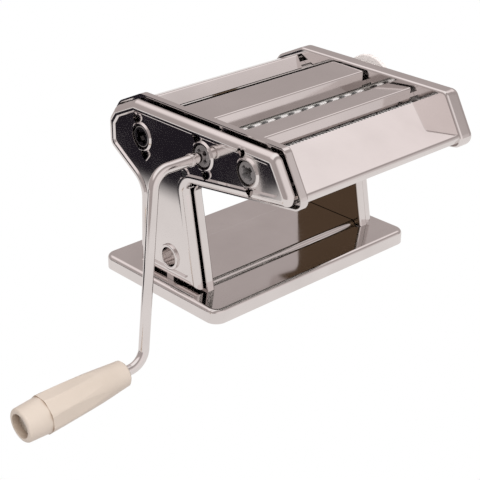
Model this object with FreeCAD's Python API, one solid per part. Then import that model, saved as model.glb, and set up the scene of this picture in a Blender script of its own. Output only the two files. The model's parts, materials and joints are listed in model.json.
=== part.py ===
import FreeCAD, Part
import math
import os

from FreeCAD import Vector

# Hand-cranked pasta machine, in millimetres.
# X runs along the rollers (crank on -X), -Y is the front, Z is up.
# Heights are drawn from a datum just above the base's rim; DATUM_HEIGHT lifts the
# whole machine so that the origin is the centre of the plane the feet stand on.

# Main sizes
ROLLER_LENGTH = 150.0
INNER_X = ROLLER_LENGTH / 2 + 1.0
SHEET = 1.2
PLATE_X = INNER_X + SHEET
FLANGE_X = INNER_X + 6.8
COVER_X = 91.0
COVER_SHEET = 1.0
COVER_BACK_X = FLANGE_X - 0.8
COVER_INSET = 3.0
COVER_EDGE_R = 5.5
COVER_CORNER_R = 6.5
COVER_FOOT_GAP = 1.6
DISH_DEPTH = 1.3
DISH_INSET = 8.0
FACE_X = COVER_X - DISH_DEPTH
HEAD_TOP = 139.0

# Base
BASE_X = 200.0
BASE_Y = 127.0
BASE_TOP = 9.0
BASE_RIM = -1.6
DATUM_HEIGHT = 2.8
FOOT_BOTTOM = -DATUM_HEIGHT
BASE_CORNER_R = 9.0
PLATEAU_HEIGHT = 3.3

# Side outline in (y, z) with the corner radius, counter-clockwise seen from +X
FRAME_OUTLINE = [
    (-110.5, HEAD_TOP, 5.0),
    (-131.2, 101.6, 7.0),
    (-23.4, 86.7, 6.0),
    (-36.8, BASE_TOP, 0.0),
    (34.2, BASE_TOP, 0.0),
    (31.0, 71.2, 12.0),
    (65.6, 93.2, 12.0),
    (65.6, 116.0, 12.0),
    (57.0, 127.7, 10.0),
    (33.0, HEAD_TOP, 9.0),
]

# Sheet paths of the head, in (y, z) with the bend radius, from back to front
REAR_PATH = [
    (25.0, 125.9, 0.0),
    (34.3, 133.4, 2.0),
    (47.0, 129.0, 6.0),
    (57.5, 116.5, 6.0),
    (57.5, 99.0, 8.0),
    (49.0, 92.5, 0.0),
]
MIDDLE_PATH = [
    (18.3, 124.0, 0.0),
    (3.0, 131.0, 6.0),
    (-3.0, 137.0, 6.0),
    (-34.3, 136.6, 1.5),
    (-37.4, 126.0, 0.0),
]
FRONT_STEP_PATH = [
    (-43.2, 125.9, 0.0),
    (-59.0, 133.4, 8.0),
    (-80.7, 135.6, 1.5),
    (-82.8, 126.5, 0.0),
]
PANEL_PATH = [
    (-88.7, 126.8, 0.0),
    (-89.2, 128.2, 0.0),
    (-126.7, 109.8, 3.0),
    (-123.6, 104.6, 0.0),
]
LEVEL_X = INNER_X - 2.3
FLANGE_CUT = 3.7

# End tabs of the plates' feed flanges: point and lean of the flange
PLATE_TABS = [
    ((28.2, 127.75), math.atan2(7.5, 9.3)),
    ((-36.1, 128.4), math.atan2(10.6, 3.1)),
    ((-81.45, 130.4), math.atan2(7.1, 1.8)),
]

# Roller stations in (y, z)
SMOOTH = (24.5, 111.0)
WIDE = (-40.5, 115.5)
NARROW = (-84.3, 117.0)

# Smooth rollers and their gap
SMOOTH_R = 12.5
GAP_CLOSED = 0.5
GAP_TRAVEL = 2.2
GAP_SLOPE = math.radians(9.44)
GAP_DIR = (-math.cos(GAP_SLOPE), math.sin(GAP_SLOPE))
ADJUST_DISTANCE = 2 * SMOOTH_R + GAP_CLOSED
REGULATOR_DISTANCE = 47.0
REGULATOR_TURN = math.radians(300.0)
CAM_PIN_FAR = 8.0
CAM_PIN_R = 1.25
CAM_R = 10.6

# Cutters: radius over the lands, radius of the grooves, width of one noodle
WIDE_LAND_R = 9.3
WIDE_GROOVE_R = 7.9
WIDE_NOODLE = 6.5
NARROW_LAND_R = 8.4
NARROW_GROOVE_R = 7.2
NARROW_NOODLE = 1.6
CUTTER_TIP_GAP = 0.3
CUTTER_SIDE_GAP = 0.1

# Comb bars beside the driven rollers: back of the bar from the roller axis, and its section
COMB_BACK = 15.2
COMB_THICK = 3.0
COMB_WIDTH = 4.0

# Shafts
JOURNAL_R = 3.0
DRIVE_JOURNAL_R = 5.0
RUNNING = 0.05
HEAD_R = 7.8
HEAD_BACK_X = 78.5
HEAD_X = 90.2
SOCKET_R = 3.85
SOCKET_DEPTH = 11.4
NOTCH_DEPTH = 4.8
NOTCH_R = 5.6
NOTCH_WIDTH = 3.4
REGULATOR_R = 3.0
TIE_ROD_R = 3.5
TIE_ROD_END_R = 2.5

# Gear layers on the right side
INNER_GEARS = (77.7, 81.5)
OUTER_GEARS = (83.0, 88.0)
GEAR_TEETH = 10

# Crank
CRANK_LEAN = math.radians(3.0)
CRANK_ROD_R = 3.75
CRANK_END_X = -81.8
CRANK_ELBOW_X = -131.0
CRANK_ARM = 132.0
CRANK_SPLAY = 20.5
CRANK_BEND_R = 13.0
CRANK_COLLAR_X = -99.0
PIN_X = -87.2
PIN_DIR = Vector(0, math.sqrt(0.5), math.sqrt(0.5))
GRIP_DROOP = math.radians(3.0)
GRIP_START = 16.5
GRIP_LENGTH = 83.5
GRIP_COLLAR = 17.0
GRIP_NEAR_R = 9.4
GRIP_FAR_R = 13.7

# Knob
KNOB_R = 23.0
KNOB_X = 93.8
KNOB_RIM = 3.2
KNOB_GRIP_R = 13.0
KNOB_WIDTH = 14.4
KNOB_FLUTES = 18
DETENTS = 10


def along(start, direction, distance):
    """Point in the side plane at a distance from another one."""
    return (start[0] + direction[0] * distance, start[1] + direction[1] * distance)


def rounded_edges(corners, x, closed=True):
    """Lines and tangent arcs through (y, z, radius) corners in the plane at x."""
    count = len(corners)
    stops = []
    for i in range(count):
        here = Vector(x, corners[i][0], corners[i][1])
        radius = corners[i][2]
        if radius <= 0 or (not closed and i in (0, count - 1)):
            stops.append((here, None, here))
            continue
        before = Vector(x, *corners[i - 1][:2]) - here
        after = Vector(x, *corners[(i + 1) % count][:2]) - here
        before.normalize()
        after.normalize()
        half = before.getAngle(after) / 2
        cut = radius / math.tan(half)
        bisector = before + after
        bisector.normalize()
        middle = here + bisector * (radius / math.sin(half) - radius)
        stops.append((here + before * cut, middle, here + after * cut))
    edges = []
    last = count if closed else count - 1
    for i in range(count):
        first, middle, second = stops[i]
        if middle is not None:
            edges.append(Part.Arc(first, middle, second).toShape())
        following = stops[(i + 1) % count][0]
        if i < last and second.distanceToPoint(following) > 1e-6:
            edges.append(Part.makeLine(second, following))
    return edges


def shifted(corners, distance, closed=True):
    """Corners moved to the right of the path, which is outward when counter-clockwise."""
    count = len(corners)
    lines = []
    for i in range(count if closed else count - 1):
        y0, z0 = corners[i][:2]
        y1, z1 = corners[(i + 1) % count][:2]
        size = math.hypot(y1 - y0, z1 - z0)
        dy, dz = (y1 - y0) / size, (z1 - z0) / size
        lines.append((y0 + dz * distance, z0 - dy * distance, dy, dz))
    moved = []
    for i in range(count):
        radius = corners[i][2]
        if not closed and i == 0:
            moved.append((lines[0][0], lines[0][1], 0.0))
            continue
        if not closed and i == count - 1:
            y1, z1 = corners[i][:2]
            moved.append((y1 + lines[-1][3] * distance, z1 - lines[-1][2] * distance, 0.0))
            continue
        ay, az, ady, adz = lines[i - 1]
        by, bz, bdy, bdz = lines[i]
        turn = ady * bdz - adz * bdy
        step = ((by - ay) * bdz - (bz - az) * bdy) / turn
        if radius > 0:
            radius = max(radius + (distance if turn > 0 else -distance), 0.4)
        moved.append((ay + ady * step, az + adz * step, radius))
    return moved


def prism(corners, x0, x1):
    """Solid with the given side outline between two X planes."""
    wire = Part.Wire(rounded_edges(corners, x0))
    return Part.Face(wire).extrude(Vector(x1 - x0, 0, 0))


def sheet(path, thickness, x0, x1):
    """Bent sheet that follows an open side path, thickness to the right of it."""
    outer = rounded_edges(path, x0, closed=False)
    inner = rounded_edges(shifted(path, thickness, closed=False), x0, closed=False)
    ends = []
    for index in (0, -1):
        start = outer[index].Vertexes[index].Point
        stop = inner[index].Vertexes[index].Point
        ends.append(Part.makeLine(start, stop))
    wire = Part.Wire(Part.__sortEdges__(outer + inner + ends))
    return Part.Face(wire).extrude(Vector(x1 - x0, 0, 0))


def rod(point, radius, x0, x1):
    """Cylinder along X at a side-plane point."""
    return Part.makeCylinder(radius, x1 - x0, Vector(x0, *point), Vector(1, 0, 0))


def ring(point, outer, inner, x0, x1):
    """Tube along X."""
    return rod(point, outer, x0, x1).cut(rod(point, inner, x0 - 1, x1 + 1))


def block(x0, x1, y0, y1, z0, z1):
    """Box between six planes."""
    return Part.makeBox(x1 - x0, y1 - y0, z1 - z0, Vector(x0, y0, z0))


def turned(point, profile):
    """Solid of revolution about X; profile is a list of (x, radius) from end to end."""
    corners = [Vector(x, 0, r) for x, r in profile]
    corners = [Vector(profile[0][0], 0, 0)] + corners + [Vector(profile[-1][0], 0, 0)]
    face = Part.Face(Part.makePolygon(corners + corners[:1]))
    solid = face.revolve(Vector(0, 0, 0), Vector(1, 0, 0), 360)
    solid.translate(Vector(0, *point))
    return solid


def mirrored(shape):
    """Same shape on the other side of the machine."""
    return shape.mirror(Vector(0, 0, 0), Vector(1, 0, 0))


def joined(shapes):
    """One solid from touching or overlapping solids."""
    whole = shapes[0].multiFuse(shapes[1:]) if len(shapes) > 1 else shapes[0]
    return whole.removeSplitter()


def edges_at_x(shape, x):
    """Edges of a shape that lie in one X plane."""
    found = []
    for edge in shape.Edges:
        box = edge.BoundBox
        if abs(box.XMin - x) < 1e-4 and abs(box.XMax - x) < 1e-4:
            found.append(edge)
    return found


def heart(point, size, x0, x1):
    """Heart-shaped prism, lobes up, about 3.7 sizes wide."""
    y, z = point
    lobes = [rod((y + side * 0.84 * size, z + 0.6 * size), size, x0, x1) for side in (-1, 1)]
    tip = [
        (y - 1.6 * size, z - 0.06 * size, 0.0),
        (y, z - 1.9 * size, 0.5 * size),
        (y + 1.6 * size, z - 0.06 * size, 0.0),
        (y, z + 1.1 * size, 0.0),
    ]
    return joined(lobes + [prism(tip, x0, x1)])


ADJUST = along(SMOOTH, GAP_DIR, ADJUST_DISTANCE)
REGULATOR = along(SMOOTH, GAP_DIR, REGULATOR_DISTANCE)
WIDE_CENTRES = WIDE_LAND_R + WIDE_GROOVE_R + CUTTER_TIP_GAP
WIDE_MATE = along(WIDE, (-1.0, 0.0), WIDE_CENTRES)
NARROW_CENTRES = NARROW_LAND_R + NARROW_GROOVE_R + CUTTER_TIP_GAP
NARROW_MATE = along(NARROW, (-0.93, -0.3676), NARROW_CENTRES)
TIE_RODS = [(43.5, 97.0), (-21.7, 97.0), (-117.0, 108.0), (44.0, 122.0)]
COVER_SCREW = TIE_RODS[1]
CLAMP = (-3.3, 27.2)
CLAMP_R = 7.25
UPPER_HEARTS = [(28.8, 122.9), (-34.9, 126.7), (-79.6, 129.3)]
LOWER_HEARTS = [(21.1, 98.0), (-43.6, 102.4), (-87.2, 104.2)]
BASE_SCREWS = [(79.9, -24.0), (79.9, 22.0)]
COVER_TAB = (-7.4, -0.3)


def base_tray():
    """Inverted pan with a pressed plateau between the stems."""
    half_y = BASE_Y / 2

    def pan(inset, top):
        corner = BASE_CORNER_R - inset
        x, y = BASE_X / 2 - inset, half_y - inset
        body = block(-x, x, -y, y, BASE_RIM, top)
        upright = [e for e in body.Edges if e.BoundBox.ZLength > 1]
        body = body.makeFillet(corner, upright)
        rim = [e for e in body.Edges if e.BoundBox.ZMin > top - 1e-3]
        return body.makeFillet(3.0 - inset, rim)

    def plateau(drop, reach):
        floor, top = BASE_TOP - 4.0 - drop, BASE_TOP + PLATEAU_HEIGHT - drop
        path = [
            (-38.0, BASE_TOP - drop, 0.0),
            (-31.2, BASE_TOP - drop, 3.0),
            (-29.4, top, 3.0),
            (28.0, top, 3.0),
            (29.8, BASE_TOP - drop, 3.0),
            (36.0, BASE_TOP - drop, 0.0),
            (36.0, floor, 0.0),
            (-38.0, floor, 0.0),
        ]
        return prism(path, -reach, reach)

    reach = INNER_X - 0.6
    shell = joined([pan(0, BASE_TOP), plateau(0, reach)])
    shell = shell.cut(pan(SHEET, BASE_TOP - SHEET))
    shell = shell.cut(plateau(SHEET, reach - SHEET))
    for side in (-1, 1):
        for x, y in BASE_SCREWS:
            shell = shell.cut(Part.makeCylinder(1.5, 30, Vector(side * x, y, -5)))
        tab = block(COVER_X - 2.2, COVER_X - 0.6, COVER_TAB[0] - 0.2, COVER_TAB[1] + 0.2, 0, 20)
        shell = shell.cut(tab if side > 0 else mirrored(tab))
    return shell


def rubber_feet():
    """Pads that fill the pan's corners and stand out below its rim."""
    feet = []
    for sx in (-1, 1):
        for sy in (-1, 1):
            x, y = sx * (BASE_X / 2 - 11.0), sy * (BASE_Y / 2 - 11.0)
            stem = Part.makeCylinder(6.0, BASE_TOP - SHEET - FOOT_BOTTOM, Vector(x, y, FOOT_BOTTOM))
            pad = Part.makeCylinder(9.0, 3.0, Vector(x, y, FOOT_BOTTOM))
            pad = pad.makeFillet(0.4, [pad.Edges[2]])
            feet.append(joined([stem, pad]))
    return Part.makeCompound(feet)


def gap_slot(half_length, half_width, x0, x1, travel):
    """Rectangle along the gap direction, long enough for the roller's travel."""
    shape = block(x0, x1, -half_length - travel, half_length, -half_width, half_width)
    shape.rotate(Vector(0, 0, 0), Vector(1, 0, 0), -math.degrees(GAP_SLOPE))
    shape.translate(Vector(0, *ADJUST))
    return shape


def frame(side):
    """Side pan with an outward flange all round; built on +X, mirrored for the left."""
    body = prism(FRAME_OUTLINE, INNER_X, FLANGE_X)
    body = body.makeFillet(1.8, edges_at_x(body, INNER_X))
    body = body.cut(prism(shifted(FRAME_OUTLINE, -SHEET), PLATE_X, FLANGE_X + 1))
    drive_hole = DRIVE_JOURNAL_R + 1.5 if side < 0 else JOURNAL_R + 1.5
    holes = [rod(p, drive_hole, 70, 80) for p in (SMOOTH, WIDE, NARROW)]
    holes += [rod(p, JOURNAL_R + 1.5, 70, 80) for p in (WIDE_MATE, NARROW_MATE)]
    holes.append(rod(REGULATOR, REGULATOR_R + RUNNING, 70, 80))
    holes += [rod(p, TIE_ROD_END_R, 70, 80) for p in TIE_RODS]
    holes.append(gap_slot(6.1, 5.6, 70, 80, GAP_TRAVEL))
    holes += [comb_tab(p, turn, 70, 80, 0.1) for p, turn in COMB_TABS]
    holes += [plate_tab(p, turn, 70, 80, 0.1) for p, turn in PLATE_TABS]
    holes += [Part.makeCylinder(1.5, 30, Vector(x, y, -5)) for x, y in BASE_SCREWS]
    body = body.cut(holes[0].multiFuse(holes[1:]))
    return body if side > 0 else mirrored(body)


def cover_ring(outline, inset):
    """Cover outline moved inward, with its corners kept round."""
    moved = shifted(outline, -inset)
    return [(y, z, max(r, 2.5)) for y, z, r in moved]


def cover(side):
    """Dished shell with collars and hearts: the left one inside the frame's flange, the right one on it."""
    inset, back_x = (COVER_INSET, COVER_BACK_X) if side < 0 else (0.0, FLANGE_X)
    outline = []
    for y, z, radius in shifted(FRAME_OUTLINE, -inset):
        if radius > 0:
            outline.append((y, z, max(radius, COVER_CORNER_R)))
        else:
            outline.append((y, BASE_TOP + COVER_FOOT_GAP, 0.0))
    body = prism(outline, back_x, COVER_X)
    body = body.makeFillet(COVER_EDGE_R, edges_at_x(body, COVER_X))
    dish = prism(cover_ring(outline, DISH_INSET), FACE_X, COVER_X + 1)
    body = body.cut(dish)
    body = body.makeChamfer(DISH_DEPTH * 0.9, edges_at_x(body, COVER_X))
    hollow = prism(cover_ring(outline, COVER_SHEET), back_x - 1, COVER_X - COVER_EDGE_R)
    inner = prism(cover_ring(outline, COVER_EDGE_R), back_x - 1, FACE_X - COVER_SHEET)
    body = body.cut(hollow).cut(inner)
    tab = block(COVER_X - 2.0, COVER_X - 0.8, COVER_TAB[0], COVER_TAB[1], BASE_TOP - 0.8, 22.0)
    adds = [tab.cut(block(80, COVER_X, -20, 20, 14.5, 30))]
    cuts = []
    for point in UPPER_HEARTS + LOWER_HEARTS:
        adds.append(heart(point, 2.7, FACE_X - 0.4, FACE_X + 0.7))
        cuts.append(heart(point, 2.0, FACE_X - 3, FACE_X + 3))
    adds.append(rod(COVER_SCREW, 4.3, FACE_X - 0.4, FACE_X + 0.8))
    cuts.append(rod(COVER_SCREW, 2.9, FACE_X, FACE_X + 3))
    cuts.append(rod(COVER_SCREW, 1.6, FACE_X - 3, FACE_X + 3))
    cuts.append(rod(CLAMP, 8.6, FACE_X - 3, FACE_X + 3))
    cuts.append(rod(CLAMP, 9.9, FACE_X, FACE_X + 3))
    if side < 0:
        for station in (SMOOTH, WIDE, NARROW):
            adds.append(turned(station, [(FACE_X - 0.4, HEAD_R + 3.6), (FACE_X + 1.2, HEAD_R + 1.8)]))
            cuts.append(rod(station, HEAD_R + 1.0, FACE_X - 3, FACE_X + 3))
    else:
        cuts.append(rod(REGULATOR, 6.2, FACE_X - 3, FACE_X + 3))
    body = joined([body] + adds)
    body = body.cut(cuts[0].multiFuse(cuts[1:]))
    return body if side > 0 else mirrored(body)


def plate_tab(point, lean, x0, x1, clearance):
    """Finger on the end of a flange, along the flange's direction."""
    half, thick = 1.5 + clearance, SHEET / 2 + clearance
    shape = block(x0, x1, -half, half, -thick, thick)
    shape.rotate(Vector(0, 0, 0), Vector(1, 0, 0), math.degrees(lean))
    shape.translate(Vector(0, *point))
    return shape


def tabs_on(shape, index):
    """Plate with its two end tabs."""
    point, lean = PLATE_TABS[index]
    tab = plate_tab(point, lean, 60.0, PLATE_X + 0.6, 0)
    return joined([shape, tab, mirrored(tab)])


def rear_plate():
    """Back of the head, from the rear feed lip over the top and down."""
    plate = sheet(REAR_PATH, SHEET, -INNER_X, INNER_X)
    for side in (-1, 1):
        wedge = slanted_cut((34.3, 133.4), (25.0, 125.9), side)
        plate = plate.cut(wedge)
    return tabs_on(plate, 0)


def slanted_cut(crease, end, side):
    """Wedge that shortens a flange more towards its free end."""
    low = Vector(0, end[0] - crease[0], end[1] - crease[1])
    across = Vector(1, 0, 0).cross(low)
    across.normalize()
    low = low * 1.3
    start = Vector(side * LEVEL_X, crease[0], crease[1])
    corners = [
        start,
        start + low + Vector(-side * FLANGE_CUT * 1.3, 0, 0),
        start + low + Vector(side * 10, 0, 0),
        start + Vector(side * 10, 0, 0),
    ]
    face = Part.Face(Part.makePolygon(corners + corners[:1]))
    face.translate(across * -3)
    return face.extrude(across * 6)


def step_plate(path, level_y, index):
    """Feed step: a slope between the frames, a level top and a slanted front flange."""
    plate = sheet(path, -SHEET, -INNER_X, INNER_X)
    crease, end = path[-2][:2], path[-1][:2]
    for side in (-1, 1):
        x0, x1 = sorted((side * LEVEL_X, side * (INNER_X + 1)))
        plate = plate.cut(block(x0, x1, crease[0] - 0.3, level_y, 120, 145))
        plate = plate.cut(slanted_cut(crease, end, side))
    return tabs_on(plate, index)


def front_panel():
    """Sloping front with a turned-under lower lip."""
    return sheet(PANEL_PATH, -SHEET, -INNER_X, INNER_X)


def tie_rods():
    """Spacer rods between the frames; the long one also carries the covers."""
    rods = []
    for point in TIE_RODS:
        reach = FACE_X - COVER_SHEET if point == COVER_SCREW else PLATE_X + 4.2
        body = joined([rod(point, TIE_ROD_R, -INNER_X, INNER_X), rod(point, TIE_ROD_END_R, -reach, reach)])
        if point == COVER_SCREW:
            for side in (-1, 1):
                x0, x1 = sorted((side * (reach - 6), side * (reach + 1)))
                body = body.cut(rod(point, 1.5, x0, x1))
        rods.append(body)
    return Part.makeCompound(rods)


def hexagon(point, across_flats, hole, x0, x1):
    """Hexagon nut along X."""
    corners = []
    for i in range(6):
        angle = math.radians(60 * i)
        y, z = along(point, (math.cos(angle), math.sin(angle)), across_flats / math.sqrt(3))
        corners.append((y, z, 0.0))
    return prism(corners, x0, x1).cut(rod(point, hole, x0 - 1, x1 + 1))


def tie_rod_nuts():
    """One nut on each rod end, outside the frame plates."""
    nuts = []
    for point in TIE_RODS:
        nut = hexagon(point, 8.0, TIE_ROD_END_R, PLATE_X, PLATE_X + 3.2)
        nuts += [nut, mirrored(nut)]
    return Part.makeCompound(nuts)


def cover_screws():
    """Slotted screws that hold the covers to the long tie rod."""
    head = rod(COVER_SCREW, 2.6, FACE_X, FACE_X + 0.6)
    y, z = COVER_SCREW
    head = head.cut(block(FACE_X + 0.25, FACE_X + 2, y - 4, y + 4, z - 0.35, z + 0.35))
    screw = joined([head, rod(COVER_SCREW, 1.5, FACE_X - 6, FACE_X)])
    return Part.makeCompound([screw, mirrored(screw)])


def base_screws():
    """Screws through the frames' foot flanges into the base, with nuts below."""
    screws = []
    for side in (-1, 1):
        for x, y in BASE_SCREWS:
            top = BASE_TOP + SHEET
            shank = Part.makeCylinder(1.5, top - 3.0, Vector(side * x, y, 3.0))
            head = Part.makeCylinder(2.1, 1.6, Vector(side * x, y, top))
            nut = Part.makeCylinder(2.8, 2.2, Vector(side * x, y, BASE_TOP - SHEET - 2.2))
            screws.append(joined([shank, head, nut]))
    return Part.makeCompound(screws)


def bush(point, hole):
    """Flanged bearing pressed into a frame plate from the inside."""
    barrel = ring(point, hole + 1.5, hole + RUNNING, INNER_X, PLATE_X + 0.2)
    flange = ring(point, hole + 3.0, hole + RUNNING, INNER_X - 0.7, INNER_X)
    return joined([barrel, flange])


def left_bushes():
    """Bearings of the five roller journals on the crank side."""
    parts = [bush(p, DRIVE_JOURNAL_R) for p in (SMOOTH, WIDE, NARROW)]
    parts += [bush(p, JOURNAL_R) for p in (WIDE_MATE, NARROW_MATE)]
    return Part.makeCompound([mirrored(p) for p in parts])


def right_bushes():
    """Bearings of the five roller journals on the gear side."""
    points = (SMOOTH, WIDE, NARROW, WIDE_MATE, NARROW_MATE)
    return Part.makeCompound([bush(p, JOURNAL_R) for p in points])


def drive_end(point):
    """Left journal with the crank socket in its head."""
    end = joined([
        rod(point, DRIVE_JOURNAL_R, -HEAD_BACK_X, -ROLLER_LENGTH / 2),
        rod(point, HEAD_R, -HEAD_X, -HEAD_BACK_X),
    ])
    rim = edges_at_x(end, -HEAD_X)
    end = end.makeFillet(0.8, rim)
    end = end.cut(rod(point, SOCKET_R, -HEAD_X - 1, -HEAD_X + SOCKET_DEPTH))
    y, z = point
    for angle in (45, 135):
        notch = block(-HEAD_X - 1, -HEAD_X + NOTCH_DEPTH, -20, 20, -NOTCH_WIDTH / 2, NOTCH_WIDTH / 2)
        notch.rotate(Vector(0, 0, 0), Vector(1, 0, 0), angle)
        notch.translate(Vector(0, y, z))
        end = end.cut(notch.common(rod(point, NOTCH_R, -HEAD_X - 1, -HEAD_X + NOTCH_DEPTH)))
    return end


def smooth_roller(point, driven):
    """Plain roller with its journals."""
    half = ROLLER_LENGTH / 2
    body = rod(point, SMOOTH_R, -half, half)
    body = body.makeFillet(0.6, edges_at_x(body, -half) + edges_at_x(body, half))
    left = drive_end(point) if driven else rod(point, JOURNAL_R, -80.4, -half)
    return joined([body, left, rod(point, JOURNAL_R, half, OUTER_GEARS[1])])


def land_spans(noodle, first):
    """X spans of a cutter's lands; driver and mate take every other noodle."""
    count = int(ROLLER_LENGTH / noodle)
    start = -count * noodle / 2
    spans = []
    for i in range(first, count, 2):
        x0 = start + i * noodle + CUTTER_SIDE_GAP / 2
        spans.append((x0, x0 + noodle - CUTTER_SIDE_GAP))
    return spans


def cutter(point, land_r, groove_r, noodle, first, left, gear_layer):
    """Grooved roller turned in one piece with its journals."""
    half = ROLLER_LENGTH / 2
    profile = [(-half, groove_r)]
    for x0, x1 in land_spans(noodle, first):
        profile += [(x0, groove_r), (x0, land_r), (x1, land_r), (x1, groove_r)]
    profile.append((half, groove_r))
    right = rod(point, JOURNAL_R, half, gear_layer[1])
    return joined([turned(point, profile), left, right])


def plain_end(point):
    """Left journal of a driven mate."""
    return rod(point, JOURNAL_R, -HEAD_BACK_X, -ROLLER_LENGTH / 2)


def gear(point, pitch_r, layer, addendum, start_angle):
    """Spur gear with straight-flanked teeth, pressed on a journal."""
    pitch = 2 * math.pi / GEAR_TEETH
    root_r, tip_r = pitch_r - addendum * 1.15, pitch_r + addendum
    slope = math.tan(math.radians(28.0))
    half_pitch = pitch_r * pitch / 4 - 0.32

    def half_angle(radius):
        return (half_pitch - (radius - pitch_r) * slope) / radius

    corners = []
    for i in range(GEAR_TEETH):
        centre = start_angle + i * pitch
        for radius, sign in ((root_r, -1), (tip_r, -1), (tip_r, 1), (root_r, 1)):
            angle = centre + sign * half_angle(radius)
            y, z = along(point, (math.cos(angle), math.sin(angle)), radius)
            corners.append((y, z, 0.0))
    return prism(corners, *layer).cut(rod(point, JOURNAL_R, layer[0] - 1, layer[1] + 1))


def gear_pair(driver, mate, layer, addendum):
    """Two equal gears in mesh, a tooth of one in a gap of the other."""
    direction = math.atan2(mate[1] - driver[1], mate[0] - driver[0])
    pitch_r = math.dist(driver, mate) / 2
    half_pitch = math.pi / GEAR_TEETH
    first = gear(driver, pitch_r, layer, addendum, direction)
    second = gear(mate, pitch_r, layer, addendum, direction + math.pi + half_pitch)
    return first, second


def comb_lean(axis, heart_point):
    """Angle of the line from a roller axis to its comb bar."""
    return math.atan2(heart_point[1] - axis[1], heart_point[0] - axis[0])


SCRAPER_LEAN = comb_lean(SMOOTH, LOWER_HEARTS[0])
WIDE_COMB_LEAN = comb_lean(WIDE, LOWER_HEARTS[1])
NARROW_COMB_LEAN = math.radians(-86.0)


def bar_point(axis, lean):
    """Centre of a comb bar."""
    return along(axis, (math.cos(lean), math.sin(lean)), COMB_BACK - COMB_THICK / 2)


COMB_TABS = [
    (bar_point(SMOOTH, SCRAPER_LEAN), SCRAPER_LEAN),
    (bar_point(WIDE, WIDE_COMB_LEAN), WIDE_COMB_LEAN),
    (bar_point(NARROW, NARROW_COMB_LEAN), NARROW_COMB_LEAN),
]


def comb_tab(point, lean, x0, x1, clearance):
    """Rectangular bar section of a comb, leaning with it."""
    half, thick = COMB_THICK / 2 - 0.4 + clearance, COMB_WIDTH / 2 + clearance
    shape = block(x0, x1, -half, half, -thick, thick)
    shape.rotate(Vector(0, 0, 0), Vector(1, 0, 0), math.degrees(lean))
    shape.translate(Vector(0, *point))
    return shape


def comb(axis, lean, reach_r, spans):
    """Bar with tabs in both frames and a blade in every given X span."""
    parts = [comb_tab(bar_point(axis, lean), lean, -PLATE_X - 0.6, PLATE_X + 0.6, 0)]
    for x0, x1 in spans:
        blade = block(x0, x1, reach_r, COMB_BACK - COMB_THICK + 1.0, -0.6, 0.6)
        blade.rotate(Vector(0, 0, 0), Vector(1, 0, 0), math.degrees(lean))
        blade.translate(Vector(0, *axis))
        parts.append(blade)
    return joined(parts)


def groove_spans(noodle, first, side_gap):
    """X spans of the blades, each inside one groove of the driver."""
    return [(x0 + side_gap, x1 - side_gap) for x0, x1 in land_spans(noodle, first)]


def gap_block(side):
    """Sliding bearing of the adjustable roller with the pin that rides in the cam."""
    pin_at = along(ADJUST, GAP_DIR, REGULATOR_DISTANCE - ADJUST_DISTANCE - CAM_PIN_FAR)
    boss = gap_slot(6.0, 5.5, INNER_X - 0.4, PLATE_X + 0.2, 0)
    reach = math.dist(ADJUST, pin_at) + 2.5
    plate = block(PLATE_X + 0.2, PLATE_X + 1.8, -reach, 7.5, -7.0, 7.0)
    corners = [e for e in plate.Edges if e.BoundBox.XLength > 1]
    plate = plate.makeFillet(2.2, corners)
    plate.rotate(Vector(0, 0, 0), Vector(1, 0, 0), -math.degrees(GAP_SLOPE))
    plate.translate(Vector(0, *ADJUST))
    pin = rod(pin_at, CAM_PIN_R, PLATE_X + 1.8, PLATE_X + 4.0)
    body = joined([boss, plate, pin]).cut(rod(ADJUST, JOURNAL_R + RUNNING, 70, 90))
    return body if side > 0 else mirrored(body)


def gap_cam(side):
    """Disc with a spiral groove that draws the gap block in as the shaft turns."""
    x0 = PLATE_X + 2.0
    disc = ring(REGULATOR, CAM_R, REGULATOR_R, x0, x0 + 2.8)
    facing = math.atan2(-GAP_DIR[1], -GAP_DIR[0])
    steps = 24

    def edge_curve(offset):
        points = []
        for i in range(steps + 1):
            turn = -0.05 + (REGULATOR_TURN + 0.1) * i / steps
            radius = CAM_PIN_FAR - GAP_TRAVEL * turn / REGULATOR_TURN + offset
            angle = facing - turn
            y, z = along(REGULATOR, (math.cos(angle), math.sin(angle)), radius)
            points.append(Vector(x0, y, z))
        curve = Part.BSplineCurve()
        curve.interpolate(points)
        return curve.toShape(), points

    half = CAM_PIN_R + 0.08
    outer, outer_points = edge_curve(half)
    inner, inner_points = edge_curve(-half)
    caps = [Part.makeLine(outer_points[i], inner_points[i]) for i in (0, -1)]
    wire = Part.Wire(Part.__sortEdges__([outer, inner] + caps))
    groove = Part.Face(wire).extrude(Vector(2.3, 0, 0))
    ends = []
    for turn in (-0.05, REGULATOR_TURN + 0.05):
        radius = CAM_PIN_FAR - GAP_TRAVEL * turn / REGULATOR_TURN
        angle = facing - turn
        point = along(REGULATOR, (math.cos(angle), math.sin(angle)), radius)
        ends.append(rod(point, half, x0, x0 + 2.3))
    body = disc.cut(groove).cut(ends[0]).cut(ends[1])
    return body if side > 0 else mirrored(body)


def regulator_shaft():
    """Shaft through both frames with a flat for the knob and a screw at its end."""
    end_x = KNOB_X + 5.0
    body = rod(REGULATOR, REGULATOR_R, -PLATE_X - 5.2, end_x)
    y, z = REGULATOR
    flat = block(COVER_X, end_x + 1, y - 5, y + 5, z + 2.0, z + 6)
    return body.cut(flat)


def shaft_screw():
    """Screw with a wide head that the knob's spring pushes on."""
    x = KNOB_X + 5.0
    stem = rod(REGULATOR, 1.6, x, x + 6.4)
    head = rod(REGULATOR, 5.2, x + 6.4, x + 7.6)
    return joined([stem, head])


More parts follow.
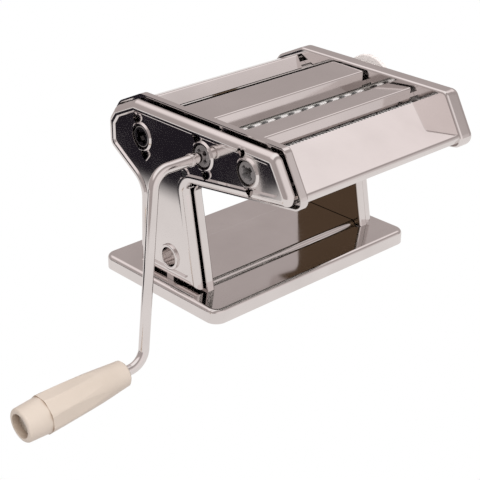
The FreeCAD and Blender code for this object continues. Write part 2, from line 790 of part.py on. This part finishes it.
def knob_spring():
    """Compression spring around the end screw, short enough not to bind when the knob is pulled."""
    wire_r, coil_r, turns = 0.4, 3.6, 2
    x0, x1 = KNOB_X + 5.1, KNOB_X + 11.2
    length = x1 - x0 - 2 * wire_r
    helix = Part.makeHelix(length / turns, length, coil_r)
    rise = math.atan2(length / turns, 2 * math.pi * coil_r)
    start, heading = Vector(coil_r, 0, 0), Vector(0, math.cos(rise), math.sin(rise))
    circle = Part.Wire(Part.makeCircle(wire_r, start, heading))
    coil = Part.Wire(helix.Edges).makePipeShell([circle], True, True)
    coil.rotate(Vector(0, 0, 0), Vector(0, 1, 0), 90)
    coil.translate(Vector(x0 + wire_r, *REGULATOR))
    return coil


def regulator_knob():
    """Knob with a fluted rim, hollow inside for the spring, on the flat of the shaft."""
    x0, x1 = KNOB_X, KNOB_X + KNOB_WIDTH
    rim_x = x0 + KNOB_RIM
    rim = rod(REGULATOR, KNOB_R, x0, rim_x)
    rim = rim.makeFillet(1.0, edges_at_x(rim, x0) + edges_at_x(rim, rim_x))
    grip = rod(REGULATOR, KNOB_GRIP_R, rim_x, x1)
    grip = grip.makeFillet(2.4, edges_at_x(grip, x1))
    body = joined([rim, grip])
    for i in range(KNOB_FLUTES):
        angle = 2 * math.pi * i / KNOB_FLUTES
        point = along(REGULATOR, (math.cos(angle), math.sin(angle)), KNOB_R + 1.6)
        body = body.cut(rod(point, 2.4, x0 - 1, rim_x + 1))
    body = body.cut(rod(REGULATOR, 6.0, x0 + 5.0, x1 + 1))
    y, z = REGULATOR
    hole = rod(REGULATOR, REGULATOR_R + RUNNING, x0 - 1, x0 + 6)
    hole = hole.cut(block(x0 - 2, x0 + 7, y - 5, y + 5, z + 2.05, z + 6))
    body = body.cut(hole)
    return body.cut(ring(REGULATOR, 16.0, 8.5, x0 - 1, x0 + 1.5))


def knob_cap():
    """Disc that closes the knob's hollow."""
    x1 = KNOB_X + KNOB_WIDTH
    cap = rod(REGULATOR, 6.0, x1 - 1.6, x1 + 0.4)
    return cap.makeFillet(0.35, edges_at_x(cap, x1 + 0.4))


def detent_point(turn):
    """Place of a detent about the regulator axis."""
    return along(REGULATOR, (math.cos(turn), math.sin(turn)), 11.4)


def knob_detent_ring():
    """Ring on the right cover with a hole for every gap setting."""
    x0, x1 = COVER_X, COVER_X + 2.0
    body = joined([ring(REGULATOR, 14.0, 6.2, x0, x1), ring(REGULATOR, 9.0, 6.2, FACE_X, x0)])
    body = body.makeFillet(0.5, [e for e in edges_at_x(body, x1) if e.Length > 60])
    for i in range(DETENTS):
        turn = REGULATOR_TURN * i / (DETENTS - 1)
        body = body.cut(rod(detent_point(math.pi / 2 + turn), 1.5, x0 + 0.4, x1 + 1))
    return body


def knob_detent_pin():
    """Pin in the knob's back that points at the detent holes."""
    return rod(detent_point(math.pi / 2), 1.0, COVER_X + 2.3, KNOB_X + 1.5)


def clamp_socket(side):
    """Lipped tube in the stem that takes a table clamp's pin."""
    tube = ring(CLAMP, 8.4, CLAMP_R, PLATE_X, FACE_X + 1.6)
    lip = ring(CLAMP, 9.7, CLAMP_R, FACE_X, FACE_X + 1.6)
    body = joined([tube, lip])
    body = body.makeFillet(0.7, edges_at_x(body, FACE_X + 1.6))
    return body if side > 0 else mirrored(body)


def crank_frame():
    """Directions of the crank at rest and its two corner points."""
    down = Vector(0, -math.sin(CRANK_LEAN), -math.cos(CRANK_LEAN))
    elbow = Vector(CRANK_ELBOW_X, *WIDE)
    foot = elbow + Vector(-CRANK_SPLAY, 0, 0) + down * CRANK_ARM
    out = Vector(-math.cos(GRIP_DROOP), 0, 0) + down * math.sin(GRIP_DROOP)
    return down, elbow, foot, out


def crank_rod():
    """Round bar from the socket out, down the arm and into the grip."""
    down, elbow, foot, out = crank_frame()
    start = Vector(CRANK_END_X, *WIDE)
    grip_end = foot + out * (GRIP_START + GRIP_LENGTH - 5.0)
    points = [start, elbow, foot, grip_end]
    edges = []
    here = start
    for i in (1, 2):
        before = points[i - 1] - points[i]
        after = points[i + 1] - points[i]
        before.normalize()
        after.normalize()
        half = before.getAngle(after) / 2
        cut = CRANK_BEND_R / math.tan(half)
        middle = before + after
        middle.normalize()
        crown = points[i] + middle * (CRANK_BEND_R / math.sin(half) - CRANK_BEND_R)
        first, second = points[i] + before * cut, points[i] + after * cut
        edges.append(Part.makeLine(here, first))
        edges.append(Part.Arc(first, crown, second).toShape())
        here = second
    edges.append(Part.makeLine(here, grip_end))
    section = Part.Wire(Part.makeCircle(CRANK_ROD_R, start, Vector(1, 0, 0)))
    bar = Part.Wire(edges).makePipeShell([section], True, False)
    hole = Part.makeCylinder(1.5, 40, Vector(PIN_X, WIDE[0], WIDE[1]), PIN_DIR)
    hole.translate(PIN_DIR * -20)
    return bar.cut(hole)


def crank_pin():
    """Cross pin that drives the socket's notches."""
    centre = Vector(PIN_X, *WIDE)
    return Part.makeCylinder(1.5, 10.4, centre - PIN_DIR * 5.2, PIN_DIR)


def crank_collar():
    """Stop ring pressed on the bar outside the socket."""
    end_x = CRANK_COLLAR_X - 2.4
    body = ring(WIDE, CRANK_ROD_R + 0.8, CRANK_ROD_R, end_x, CRANK_COLLAR_X)
    rims = edges_at_x(body, end_x) + edges_at_x(body, CRANK_COLLAR_X)
    return body.makeFillet(0.4, [e for e in rims if e.Length > 25])


def place_grip(shape):
    """Moves a shape built along +Z onto the grip's axis."""
    out = crank_frame()[3]
    turn = FreeCAD.Rotation(Vector(0, 0, 1), out)
    start = crank_frame()[2] + out * GRIP_START
    shape.Placement = FreeCAD.Placement(start, turn)
    return shape


def crank_grip():
    """Faceted grip with a smooth collar and a recessed end."""
    step = GRIP_LENGTH - GRIP_COLLAR
    edge = 1.2
    bore = CRANK_ROD_R + RUNNING
    swell = [(edge, GRIP_NEAR_R), (step * 0.35, 11.4), (step * 0.75, 13.3), (step, GRIP_FAR_R)]
    profile = Part.BSplineCurve()
    profile.interpolate([Vector(r, 0, z) for z, r in swell])
    body_edges = [
        Part.makeLine(Vector(bore, 0, 0), Vector(GRIP_NEAR_R - edge, 0, 0)),
        Part.makeLine(Vector(GRIP_NEAR_R - edge, 0, 0), Vector(GRIP_NEAR_R, 0, edge)),
        profile.toShape(),
        Part.makeLine(Vector(GRIP_FAR_R, 0, step), Vector(bore, 0, step)),
        Part.makeLine(Vector(bore, 0, step), Vector(bore, 0, 0)),
    ]
    face = Part.Face(Part.Wire(Part.__sortEdges__(body_edges)))
    body = face.revolve(Vector(0, 0, 0), Vector(0, 0, 1), 360)
    rings = []
    for z, flat in ((-1.0, GRIP_NEAR_R + 1.0), (step + 1.0, GRIP_FAR_R - 0.6)):
        corners = []
        for i in range(8):
            angle = math.radians(45 * i + 22.5)
            far = flat / math.cos(math.radians(22.5))
            corners.append(Vector(far * math.cos(angle), far * math.sin(angle), z))
        rings.append(Part.makePolygon(corners + corners[:1]))
    body = body.common(Part.makeLoft(rings, True, True))
    collar = Part.makeCone(GRIP_FAR_R - 0.9, GRIP_FAR_R - 1.8, GRIP_COLLAR, Vector(0, 0, step))
    collar = collar.makeFillet(2.0, [e for e in collar.Edges if e.BoundBox.ZMin > GRIP_LENGTH - 0.01])
    collar = collar.cut(Part.makeCylinder(8.6, 7.0, Vector(0, 0, GRIP_LENGTH - 7.0)))
    collar = collar.cut(Part.makeCylinder(bore, 90, Vector(0, 0, 0)))
    return place_grip(joined([body, collar]))


def grip_retainer():
    """Push-on cap on the bar's end, in the grip's recess."""
    z = GRIP_LENGTH - 6.6
    cap = Part.makeCylinder(7.4, 2.6, Vector(0, 0, z))
    cap = cap.makeFillet(0.8, [e for e in cap.Edges if e.BoundBox.ZMin > z + 2.5])
    return place_grip(cap.cut(Part.makeCylinder(CRANK_ROD_R, 1.6, Vector(0, 0, z))))


wide_gears = gear_pair(WIDE, WIDE_MATE, OUTER_GEARS, 1.3)
narrow_gears = gear_pair(NARROW, NARROW_MATE, INNER_GEARS, 1.15)
smooth_gears = gear_pair(SMOOTH, ADJUST, OUTER_GEARS, 1.7)

NODES = {
    "base_tray": base_tray(),
    "rubber_feet": rubber_feet(),
    "left_frame": frame(-1),
    "right_frame": frame(1),
    "left_cover": cover(-1),
    "right_cover": cover(1),
    "rear_plate": rear_plate(),
    "middle_step_plate": step_plate(MIDDLE_PATH, 0.0, 1),
    "front_step_plate": step_plate(FRONT_STEP_PATH, -60.0, 2),
    "front_panel": front_panel(),
    "tie_rods": tie_rods(),
    "tie_rod_nuts": tie_rod_nuts(),
    "cover_screws": cover_screws(),
    "base_screws": base_screws(),
    "left_bushes": left_bushes(),
    "right_bushes": right_bushes(),
    "smooth_roller_fixed": smooth_roller(SMOOTH, True),
    "smooth_roller_adjustable": smooth_roller(ADJUST, False),
    "wide_cutter_driver": cutter(
        WIDE, WIDE_LAND_R, WIDE_GROOVE_R, WIDE_NOODLE, 1, drive_end(WIDE), OUTER_GEARS),
    "wide_cutter_mate": cutter(
        WIDE_MATE, WIDE_LAND_R, WIDE_GROOVE_R, WIDE_NOODLE, 0, plain_end(WIDE_MATE), OUTER_GEARS),
    "narrow_cutter_driver": cutter(
        NARROW, NARROW_LAND_R, NARROW_GROOVE_R, NARROW_NOODLE, 1, drive_end(NARROW), INNER_GEARS),
    "narrow_cutter_mate": cutter(
        NARROW_MATE, NARROW_LAND_R, NARROW_GROOVE_R, NARROW_NOODLE, 0, plain_end(NARROW_MATE), INNER_GEARS),
    "smooth_fixed_gear": smooth_gears[0],
    "smooth_adjustable_gear": smooth_gears[1],
    "wide_driver_gear": wide_gears[0],
    "wide_mate_gear": wide_gears[1],
    "narrow_driver_gear": narrow_gears[0],
    "narrow_mate_gear": narrow_gears[1],
    "smooth_scraper": comb(
        SMOOTH, SCRAPER_LEAN, SMOOTH_R + 0.3, [(-ROLLER_LENGTH / 2, ROLLER_LENGTH / 2)]),
    "wide_comb": comb(
        WIDE, WIDE_COMB_LEAN, WIDE_GROOVE_R + 0.4, groove_spans(WIDE_NOODLE, 0, 0.4)),
    "narrow_comb": comb(
        NARROW, NARROW_COMB_LEAN, NARROW_GROOVE_R + 0.4, groove_spans(NARROW_NOODLE, 0, 0.3)),
    "left_gap_block": gap_block(-1),
    "right_gap_block": gap_block(1),
    "regulator_shaft": regulator_shaft(),
    "left_gap_cam": gap_cam(-1),
    "right_gap_cam": gap_cam(1),
    "shaft_screw": shaft_screw(),
    "regulator_knob": regulator_knob(),
    "knob_cap": knob_cap(),
    "knob_spring": knob_spring(),
    "knob_detent_ring": knob_detent_ring(),
    "knob_detent_pin": knob_detent_pin(),
    "left_clamp_socket": clamp_socket(-1),
    "right_clamp_socket": clamp_socket(1),
    "crank_rod": crank_rod(),
    "crank_pin": crank_pin(),
    "crank_collar": crank_collar(),
    "crank_grip": crank_grip(),
    "grip_retainer": grip_retainer(),
}

os.makedirs("parts", exist_ok=True)
for name, shape in NODES.items():
    shape.translate(Vector(0, 0, DATUM_HEIGHT))
    shape.exportStep("parts/" + name + ".step")
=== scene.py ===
import json
import math

import bpy
from mathutils import Matrix, Vector


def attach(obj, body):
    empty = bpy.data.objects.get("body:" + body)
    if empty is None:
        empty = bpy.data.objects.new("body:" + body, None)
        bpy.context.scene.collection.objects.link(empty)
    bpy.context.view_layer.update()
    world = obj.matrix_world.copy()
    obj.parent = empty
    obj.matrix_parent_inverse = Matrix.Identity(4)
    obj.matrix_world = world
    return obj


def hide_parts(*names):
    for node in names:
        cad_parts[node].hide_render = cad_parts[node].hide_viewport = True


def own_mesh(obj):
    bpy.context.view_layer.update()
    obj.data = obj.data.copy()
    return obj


# Lengths are in metres, angles in degrees. Colours are linear red, green and blue.

# Camera: its offset is to the right, up and back from the point it turns about
CAMERA_AZIMUTH = -42.68
CAMERA_ELEVATION = 25.91
CAMERA_OFFSET = (-0.01351, 0.00855, 0.9719)
CAMERA_RAISE = 0.0028
CAMERA_LENS = 94.63
SENSOR_WIDTH = 36.0

# Stage: the plinth's left edge lets the crank hang over the floor
FLOOR_Z = -0.06
FLOOR_HALF = 1.0
FLOOR_THICKNESS = 0.01
PLINTH_LEFT = -0.108
PLINTH_FAR = 0.6
PLINTH_TOP = -0.0002

# Dark patch of the floor, which the left cover reflects, with its soft edge in shares of its half size
DARK_CENTRE = (-0.442, 0.437, 0.0)
DARK_HALF = (0.150, 0.270, 1.0)
DARK_EDGE = (0.92, 1.08)
DARK_PAPER = (0.016, 0.013, 0.018)
PALE_PAPER = (0.82, 0.78, 0.765)
WHITE = (1.0, 1.0, 1.0)

# Room in reflections: colours by height of the direction, and two tones towards the front
ROOM_STOPS = [
    (0.00, (0.44, 0.385, 0.375)),
    (0.50, (0.46, 0.405, 0.395)),
    (0.66, (0.94, 0.85, 0.84)),
    (1.00, (1.05, 1.02, 1.01)),
]
FRONT_LIGHT = (0.86, 0.79, 0.78)
FRONT_GREY = (0.42, 0.37, 0.36)
FRONT_LIGHT_Y = (-0.8, -0.55)
FRONT_GREY_Y = (-0.25, -0.08)

# Key light
KEY_PLACE = (-0.7, -0.9, 1.3)
KEY_TARGET = (0, 0, 0.08)
KEY_SIZE = 1.6
KEY_ENERGY = 26.0

# Materials: range of the noise that is used, fine grain, steepness of the painted shade in crevices
NOISE_RANGE = (0.3, 0.7)
NOISE_DETAIL = 4.0
GRAIN_SCALE = 900.0
GRAIN_DETAIL = 2.0
GRAIN_HEIGHT = 0.0002
CREVICE_POWER = 3.0
# Colour of the painted shade in a piece's own holes and grooves
PAINTED_SHADE_BLACK = (0.012, 0.010, 0.010)

# Tints: painted brown shade on the stem's inward face, whose normal points to the left, and the shaft ends
# outside the left frame
STEM_PAINTED_SHADE = (0.17, 0.12, 0.075)
STEM_TOP_Z = 0.089
STEM_EDGE = 0.002
STEM_FACING = (-0.6, -0.9)
SHAFT_GREY = (0.20, 0.19, 0.19)
ROLLER_END_X = 0.077
SHAFT_EDGE = 0.001

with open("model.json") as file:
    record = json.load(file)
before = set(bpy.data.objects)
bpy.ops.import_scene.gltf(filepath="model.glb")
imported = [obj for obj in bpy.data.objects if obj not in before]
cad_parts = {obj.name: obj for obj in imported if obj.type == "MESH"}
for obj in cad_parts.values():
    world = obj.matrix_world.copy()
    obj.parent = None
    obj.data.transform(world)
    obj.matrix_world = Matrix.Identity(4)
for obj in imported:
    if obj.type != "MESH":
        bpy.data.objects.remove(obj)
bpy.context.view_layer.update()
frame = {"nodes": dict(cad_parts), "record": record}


def colour(rgb):
    """Colour with full alpha, as node sockets take it."""
    return (*rgb, 1.0)


def add_node(tree, kind, **values):
    """New shader node with some of its input sockets set by name."""
    node = tree.nodes.new(kind)
    for name, value in values.items():
        node.inputs[name.replace("_", " ")].default_value = value
    return node


def new_tree(name):
    """Empty material and its node tree, with the output node."""
    material = bpy.data.materials.new(name)
    material.use_nodes = True
    tree = material.node_tree
    tree.nodes.clear()
    return material, tree, tree.nodes.new("ShaderNodeOutputMaterial")


def rise(tree, value, start, stop, low=0.0, high=1.0):
    """Value mapped so that start gives low and stop gives high."""
    node = add_node(tree, "ShaderNodeMapRange", From_Min=start, From_Max=stop, To_Min=low, To_Max=high)
    tree.links.new(value, node.inputs["Value"])
    return node.outputs["Result"]


def combine(tree, operation, first, second):
    """Result of a maths node on two sockets."""
    node = tree.nodes.new("ShaderNodeMath")
    node.operation = operation
    tree.links.new(first, node.inputs[0])
    tree.links.new(second, node.inputs[1])
    return node.outputs["Value"]


def mixed(tree, factor, first, second):
    """Blend of two colours, each given as a socket or as plain red, green and blue."""
    node = tree.nodes.new("ShaderNodeMixRGB")
    tree.links.new(factor, node.inputs["Fac"])
    for name, tone in (("Color1", first), ("Color2", second)):
        if isinstance(tone, tuple):
            node.inputs[name].default_value = colour(tone)
        else:
            tree.links.new(tone, node.inputs[name])
    return node.outputs["Color"]


def axis_of(tree, vector, axis):
    """One coordinate of a vector socket."""
    parts = tree.nodes.new("ShaderNodeSeparateXYZ")
    tree.links.new(vector, parts.inputs["Vector"])
    return parts.outputs[axis]


def colour_ramp(tree, factor, stops):
    """Colour by a factor, through (position, colour) stops."""
    node = tree.nodes.new("ShaderNodeValToRGB")
    elements = node.color_ramp.elements
    for element, (position, tone) in zip(elements, (stops[0], stops[-1])):
        element.position = position
        element.color = colour(tone)
    for position, tone in stops[1:-1]:
        elements.new(position).color = colour(tone)
    tree.links.new(factor, node.inputs["Fac"])
    return node.outputs["Color"]


def drifting_noise(tree, scale, stretch, detail):
    """Noise in object space, stretched along the axes."""
    place = tree.nodes.new("ShaderNodeTexCoord")
    mapping = add_node(tree, "ShaderNodeMapping", Scale=stretch)
    noise = add_node(tree, "ShaderNodeTexNoise", Scale=scale, Detail=detail)
    tree.links.new(place.outputs["Object"], mapping.inputs["Vector"])
    tree.links.new(mapping.outputs["Vector"], noise.inputs["Vector"])
    return noise.outputs["Fac"]


def painted_crevice_shade(tree, tone, reach, shade):
    """Colour with painted shade in the piece's own holes and grooves, found by ambient occlusion."""
    hidden = add_node(tree, "ShaderNodeAmbientOcclusion", Distance=reach)
    hidden.only_local = True
    steep = tree.nodes.new("ShaderNodeMath")
    steep.operation = "POWER"
    steep.inputs[1].default_value = CREVICE_POWER
    tree.links.new(hidden.outputs["AO"], steep.inputs[0])
    return mixed(tree, steep.outputs["Value"], shade, tone)


def surface(
    name, dark, light, rough, metallic=0.0, scale=30.0, stretch=(1, 1, 1), bump=0.0,
    crevice=0.0, shade=PAINTED_SHADE_BLACK,
):
    """Material whose colour and roughness drift a little, with a fine grain and painted shade in crevices.
    """
    material, tree, output = new_tree(name)
    shader = add_node(tree, "ShaderNodeBsdfPrincipled", Metallic=metallic)
    drift = drifting_noise(tree, scale, stretch, NOISE_DETAIL)
    low, high = NOISE_RANGE

    tone = colour_ramp(tree, drift, [(low, dark), (high, light)])
    # Painted shade: the colour darkens where ambient occlusion finds the piece's own crevices
    if crevice > 0:
        tone = painted_crevice_shade(tree, tone, crevice, shade)
    tree.links.new(tone, shader.inputs["Base Color"])
    tree.links.new(rise(tree, drift, low, high, *rough), shader.inputs["Roughness"])

    if bump > 0:
        fine = drifting_noise(tree, GRAIN_SCALE, stretch, GRAIN_DETAIL)
        relief = add_node(tree, "ShaderNodeBump", Strength=bump, Distance=GRAIN_HEIGHT)
        tree.links.new(fine, relief.inputs["Height"])
        tree.links.new(relief.outputs["Normal"], shader.inputs["Normal"])

    tree.links.new(shader.outputs["BSDF"], output.inputs["Surface"])
    return material


def metal(name, dark, light, rough, **more):
    """Surface that is metal all through."""
    return surface(name, dark, light, rough, metallic=1.0, **more)


def tinted(base, name, tint, mask):
    """Copy of a material with another colour where the mask, made in its node tree, is 1."""
    material = base.copy()
    material.name = name
    tree = material.node_tree
    shader = next(node for node in tree.nodes if node.type == "BSDF_PRINCIPLED")
    tone = shader.inputs["Base Color"].links[0].from_socket
    tree.links.new(mixed(tree, mask(tree), tone, tint), shader.inputs["Base Color"])
    return material


def stem_shaded_face(tree):
    """Where the stem gets painted brown shade: its inward face, below the head."""
    place = tree.nodes.new("ShaderNodeNewGeometry")
    height = axis_of(tree, place.outputs["Position"], "Z")
    facing = axis_of(tree, place.outputs["Normal"], "X")
    low = rise(tree, height, STEM_TOP_Z + STEM_EDGE, STEM_TOP_Z)
    return combine(tree, "MULTIPLY", low, rise(tree, facing, *STEM_FACING))


def shaft_end(tree):
    """The part of a roller outside the left frame."""
    place = tree.nodes.new("ShaderNodeNewGeometry")
    across = axis_of(tree, place.outputs["Position"], "X")
    return rise(tree, across, -ROLLER_END_X, -ROLLER_END_X - SHAFT_EDGE)


# Materials by the record's slot, then those of single pieces
MATERIALS = {
    "chrome": metal("chrome", (0.76, 0.73, 0.72), (0.82, 0.79, 0.78), (0.05, 0.12)),
    # Painted shade in the rollers' grooves and holes, by ambient occlusion
    "roller_steel": surface(
        "roller_steel", (0.88, 0.87, 0.86), (0.96, 0.95, 0.94), (0.26, 0.38), metallic=0.15,
        scale=12.0, stretch=(60, 1, 1), bump=0.05, crevice=0.003),
    # Brown painted shade in the grip's end dish and between its flutes, by ambient occlusion
    "ivory_plastic": surface(
        "ivory_plastic", (0.55, 0.485, 0.415), (0.61, 0.54, 0.47), (0.34, 0.44), bump=0.03,
        crevice=0.012, shade=(0.34, 0.25, 0.18)),
    "knob_plastic": surface(
        "knob_plastic", (0.80, 0.77, 0.75), (0.86, 0.83, 0.81), (0.26, 0.36), bump=0.03),
    "gear_steel": metal(
        "gear_steel", (0.28, 0.28, 0.29), (0.42, 0.42, 0.42), (0.28, 0.45), scale=90.0, bump=0.05),
    "zinc_steel": metal("zinc_steel", (0.52, 0.52, 0.50), (0.66, 0.66, 0.63), (0.22, 0.36), scale=120.0),
    "dark_steel": metal("dark_steel", (0.05, 0.05, 0.055), (0.10, 0.10, 0.105), (0.30, 0.45), scale=200.0),
    "brass": metal("brass", (0.62, 0.45, 0.20), (0.74, 0.56, 0.28), (0.22, 0.38), scale=120.0),
    "spring_steel": metal(
        "spring_steel", (0.42, 0.42, 0.42), (0.56, 0.56, 0.56), (0.20, 0.32), scale=200.0),
    "comb_plastic": surface(
        "comb_plastic", (0.70, 0.69, 0.65), (0.78, 0.77, 0.73), (0.45, 0.60), scale=80.0, bump=0.05),
    "rubber": surface(
        "rubber", (0.012, 0.012, 0.012), (0.03, 0.03, 0.03), (0.60, 0.80), scale=150.0, bump=0.1),
}
# The right frame's stem gets painted brown shade on its inward face
stem_chrome_painted_shade = tinted(MATERIALS["chrome"], "stem_chrome_painted_shade", STEM_PAINTED_SHADE, stem_shaded_face)
cutter_steel = tinted(MATERIALS["roller_steel"], "cutter_steel", SHAFT_GREY, shaft_end)
polished_steel = metal("polished_steel", (0.24, 0.23, 0.23), (0.30, 0.29, 0.29), (0.10, 0.16))
PIECE_MATERIALS = {
    "right_frame": stem_chrome_painted_shade,
    "smooth_roller_fixed": polished_steel,
    "smooth_roller_adjustable": polished_steel,
    "wide_cutter_driver": cutter_steel,
    "narrow_cutter_driver": cutter_steel,
}
for row in frame["record"]["subparts"]:
    piece = frame["nodes"][row["node"]]
    slot_material = MATERIALS[row["material_slot"]]
    piece.data.materials.clear()
    piece.data.materials.append(PIECE_MATERIALS.get(row["node"], slot_material))


def pressed_spring():
    """Copy of the knob spring, carried with the regulator's body in place of the imported one; the real
    spring shortens against the end screw's head as the knob is pulled, and this copy keeps its shape.
    """
    spring = bpy.data.objects.new("pressed_spring", frame["nodes"]["knob_spring"].data.copy())
    bpy.context.collection.objects.link(spring)
    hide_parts("knob_spring")
    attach(spring, "regulator")
    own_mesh(spring)


pressed_spring()


def white_to_camera(tree, kind, tone, output):
    """Plain white where the camera looks, and the given tone in reflections and for light."""
    seen = add_node(tree, kind, Color=colour(WHITE), Strength=1.0)
    other = add_node(tree, kind, Strength=1.0)
    path = tree.nodes.new("ShaderNodeLightPath")
    mix = tree.nodes.new("ShaderNodeMixShader")
    tree.links.new(tone, other.inputs["Color"])
    tree.links.new(path.outputs["Is Camera Ray"], mix.inputs["Fac"])
    tree.links.new(other.outputs[0], mix.inputs[1])
    tree.links.new(seen.outputs[0], mix.inputs[2])
    tree.links.new(mix.outputs["Shader"], output.inputs["Surface"])


def paper(name):
    """White to the camera; in reflections pale, with a dark patch behind on the crank's side."""
    material, tree, output = new_tree(name)
    place = tree.nodes.new("ShaderNodeNewGeometry")
    patch = add_node(tree, "ShaderNodeMapping", Location=DARK_CENTRE, Scale=DARK_HALF)
    patch.vector_type = "TEXTURE"
    reach = tree.nodes.new("ShaderNodeVectorMath")
    reach.operation = "ABSOLUTE"
    tree.links.new(place.outputs["Position"], patch.inputs["Vector"])
    tree.links.new(patch.outputs["Vector"], reach.inputs[0])
    far_x = axis_of(tree, reach.outputs["Vector"], "X")
    far_y = axis_of(tree, reach.outputs["Vector"], "Y")
    edge = rise(tree, combine(tree, "MAXIMUM", far_x, far_y), *DARK_EDGE)
    tone = colour_ramp(tree, edge, [(0.0, DARK_PAPER), (1.0, PALE_PAPER)])
    white_to_camera(tree, "ShaderNodeEmission", tone, output)
    return material


def box_mesh(name, low, high):
    """Plain box between two corners."""
    bpy.ops.mesh.primitive_cube_add(size=1.0)
    box = bpy.context.object
    box.name = name
    low, high = Vector(low), Vector(high)
    box.location = (low + high) / 2
    box.scale = high - low
    return box


# Stage: the machine stands on a plinth, and the crank hangs over its edge
floor = box_mesh(
    "floor", (-FLOOR_HALF, -FLOOR_HALF, FLOOR_Z - FLOOR_THICKNESS), (FLOOR_HALF, FLOOR_HALF, FLOOR_Z))
plinth = box_mesh("plinth", (PLINTH_LEFT, -PLINTH_FAR, FLOOR_Z), (PLINTH_FAR, PLINTH_FAR, PLINTH_TOP))
for piece in (floor, plinth):
    piece.data.materials.append(paper(piece.name + "_paper"))


def studio_world():
    """White to the camera; a warm grey room that gets lighter overhead in reflections."""
    world = bpy.data.worlds.new("studio")
    bpy.context.scene.world = world
    world.use_nodes = True
    tree = world.node_tree
    tree.nodes.clear()
    output = tree.nodes.new("ShaderNodeOutputWorld")
    place = tree.nodes.new("ShaderNodeTexCoord")
    height = axis_of(tree, place.outputs["Generated"], "Z")
    depth = axis_of(tree, place.outputs["Generated"], "Y")
    ahead = mixed(tree, rise(tree, depth, *FRONT_LIGHT_Y), FRONT_LIGHT, FRONT_GREY)
    above = colour_ramp(tree, height, ROOM_STOPS)
    room = mixed(tree, rise(tree, depth, *FRONT_GREY_Y), ahead, above)
    white_to_camera(tree, "ShaderNodeBackground", room, output)


def soft_light(name, location, target, size, energy):
    """Square area light aimed at a point."""
    data = bpy.data.lights.new(name, "AREA")
    data.size = size
    data.energy = energy
    lamp = bpy.data.objects.new(name, data)
    lamp.location = location
    lamp.rotation_euler = (Vector(target) - Vector(location)).to_track_quat("-Z", "Y").to_euler()
    bpy.context.collection.objects.link(lamp)
    return lamp


studio_world()
key = soft_light("key_light", KEY_PLACE, KEY_TARGET, KEY_SIZE, KEY_ENERGY)
key.visible_glossy = False


def photo_camera():
    """Camera at the photo's angle and distance."""
    azimuth, elevation = math.radians(CAMERA_AZIMUTH), math.radians(CAMERA_ELEVATION)
    right = Vector((math.cos(azimuth), math.sin(azimuth), 0))
    back = Vector((
        math.sin(azimuth) * math.cos(elevation),
        -math.cos(azimuth) * math.cos(elevation),
        math.sin(elevation),
    ))
    up = back.cross(right)
    across, high, far = CAMERA_OFFSET
    data = bpy.data.cameras.new("camera")
    data.lens = CAMERA_LENS
    data.sensor_width = SENSOR_WIDTH
    camera = bpy.data.objects.new("camera", data)
    bpy.context.collection.objects.link(camera)
    turn = Matrix((right, up, back)).transposed().to_4x4()
    place = right * across + up * high + back * far + Vector((0, 0, CAMERA_RAISE))
    camera.matrix_world = Matrix.Translation(place) @ turn
    bpy.context.scene.camera = camera


photo_camera()
bpy.context.scene.view_settings.view_transform = "Standard"
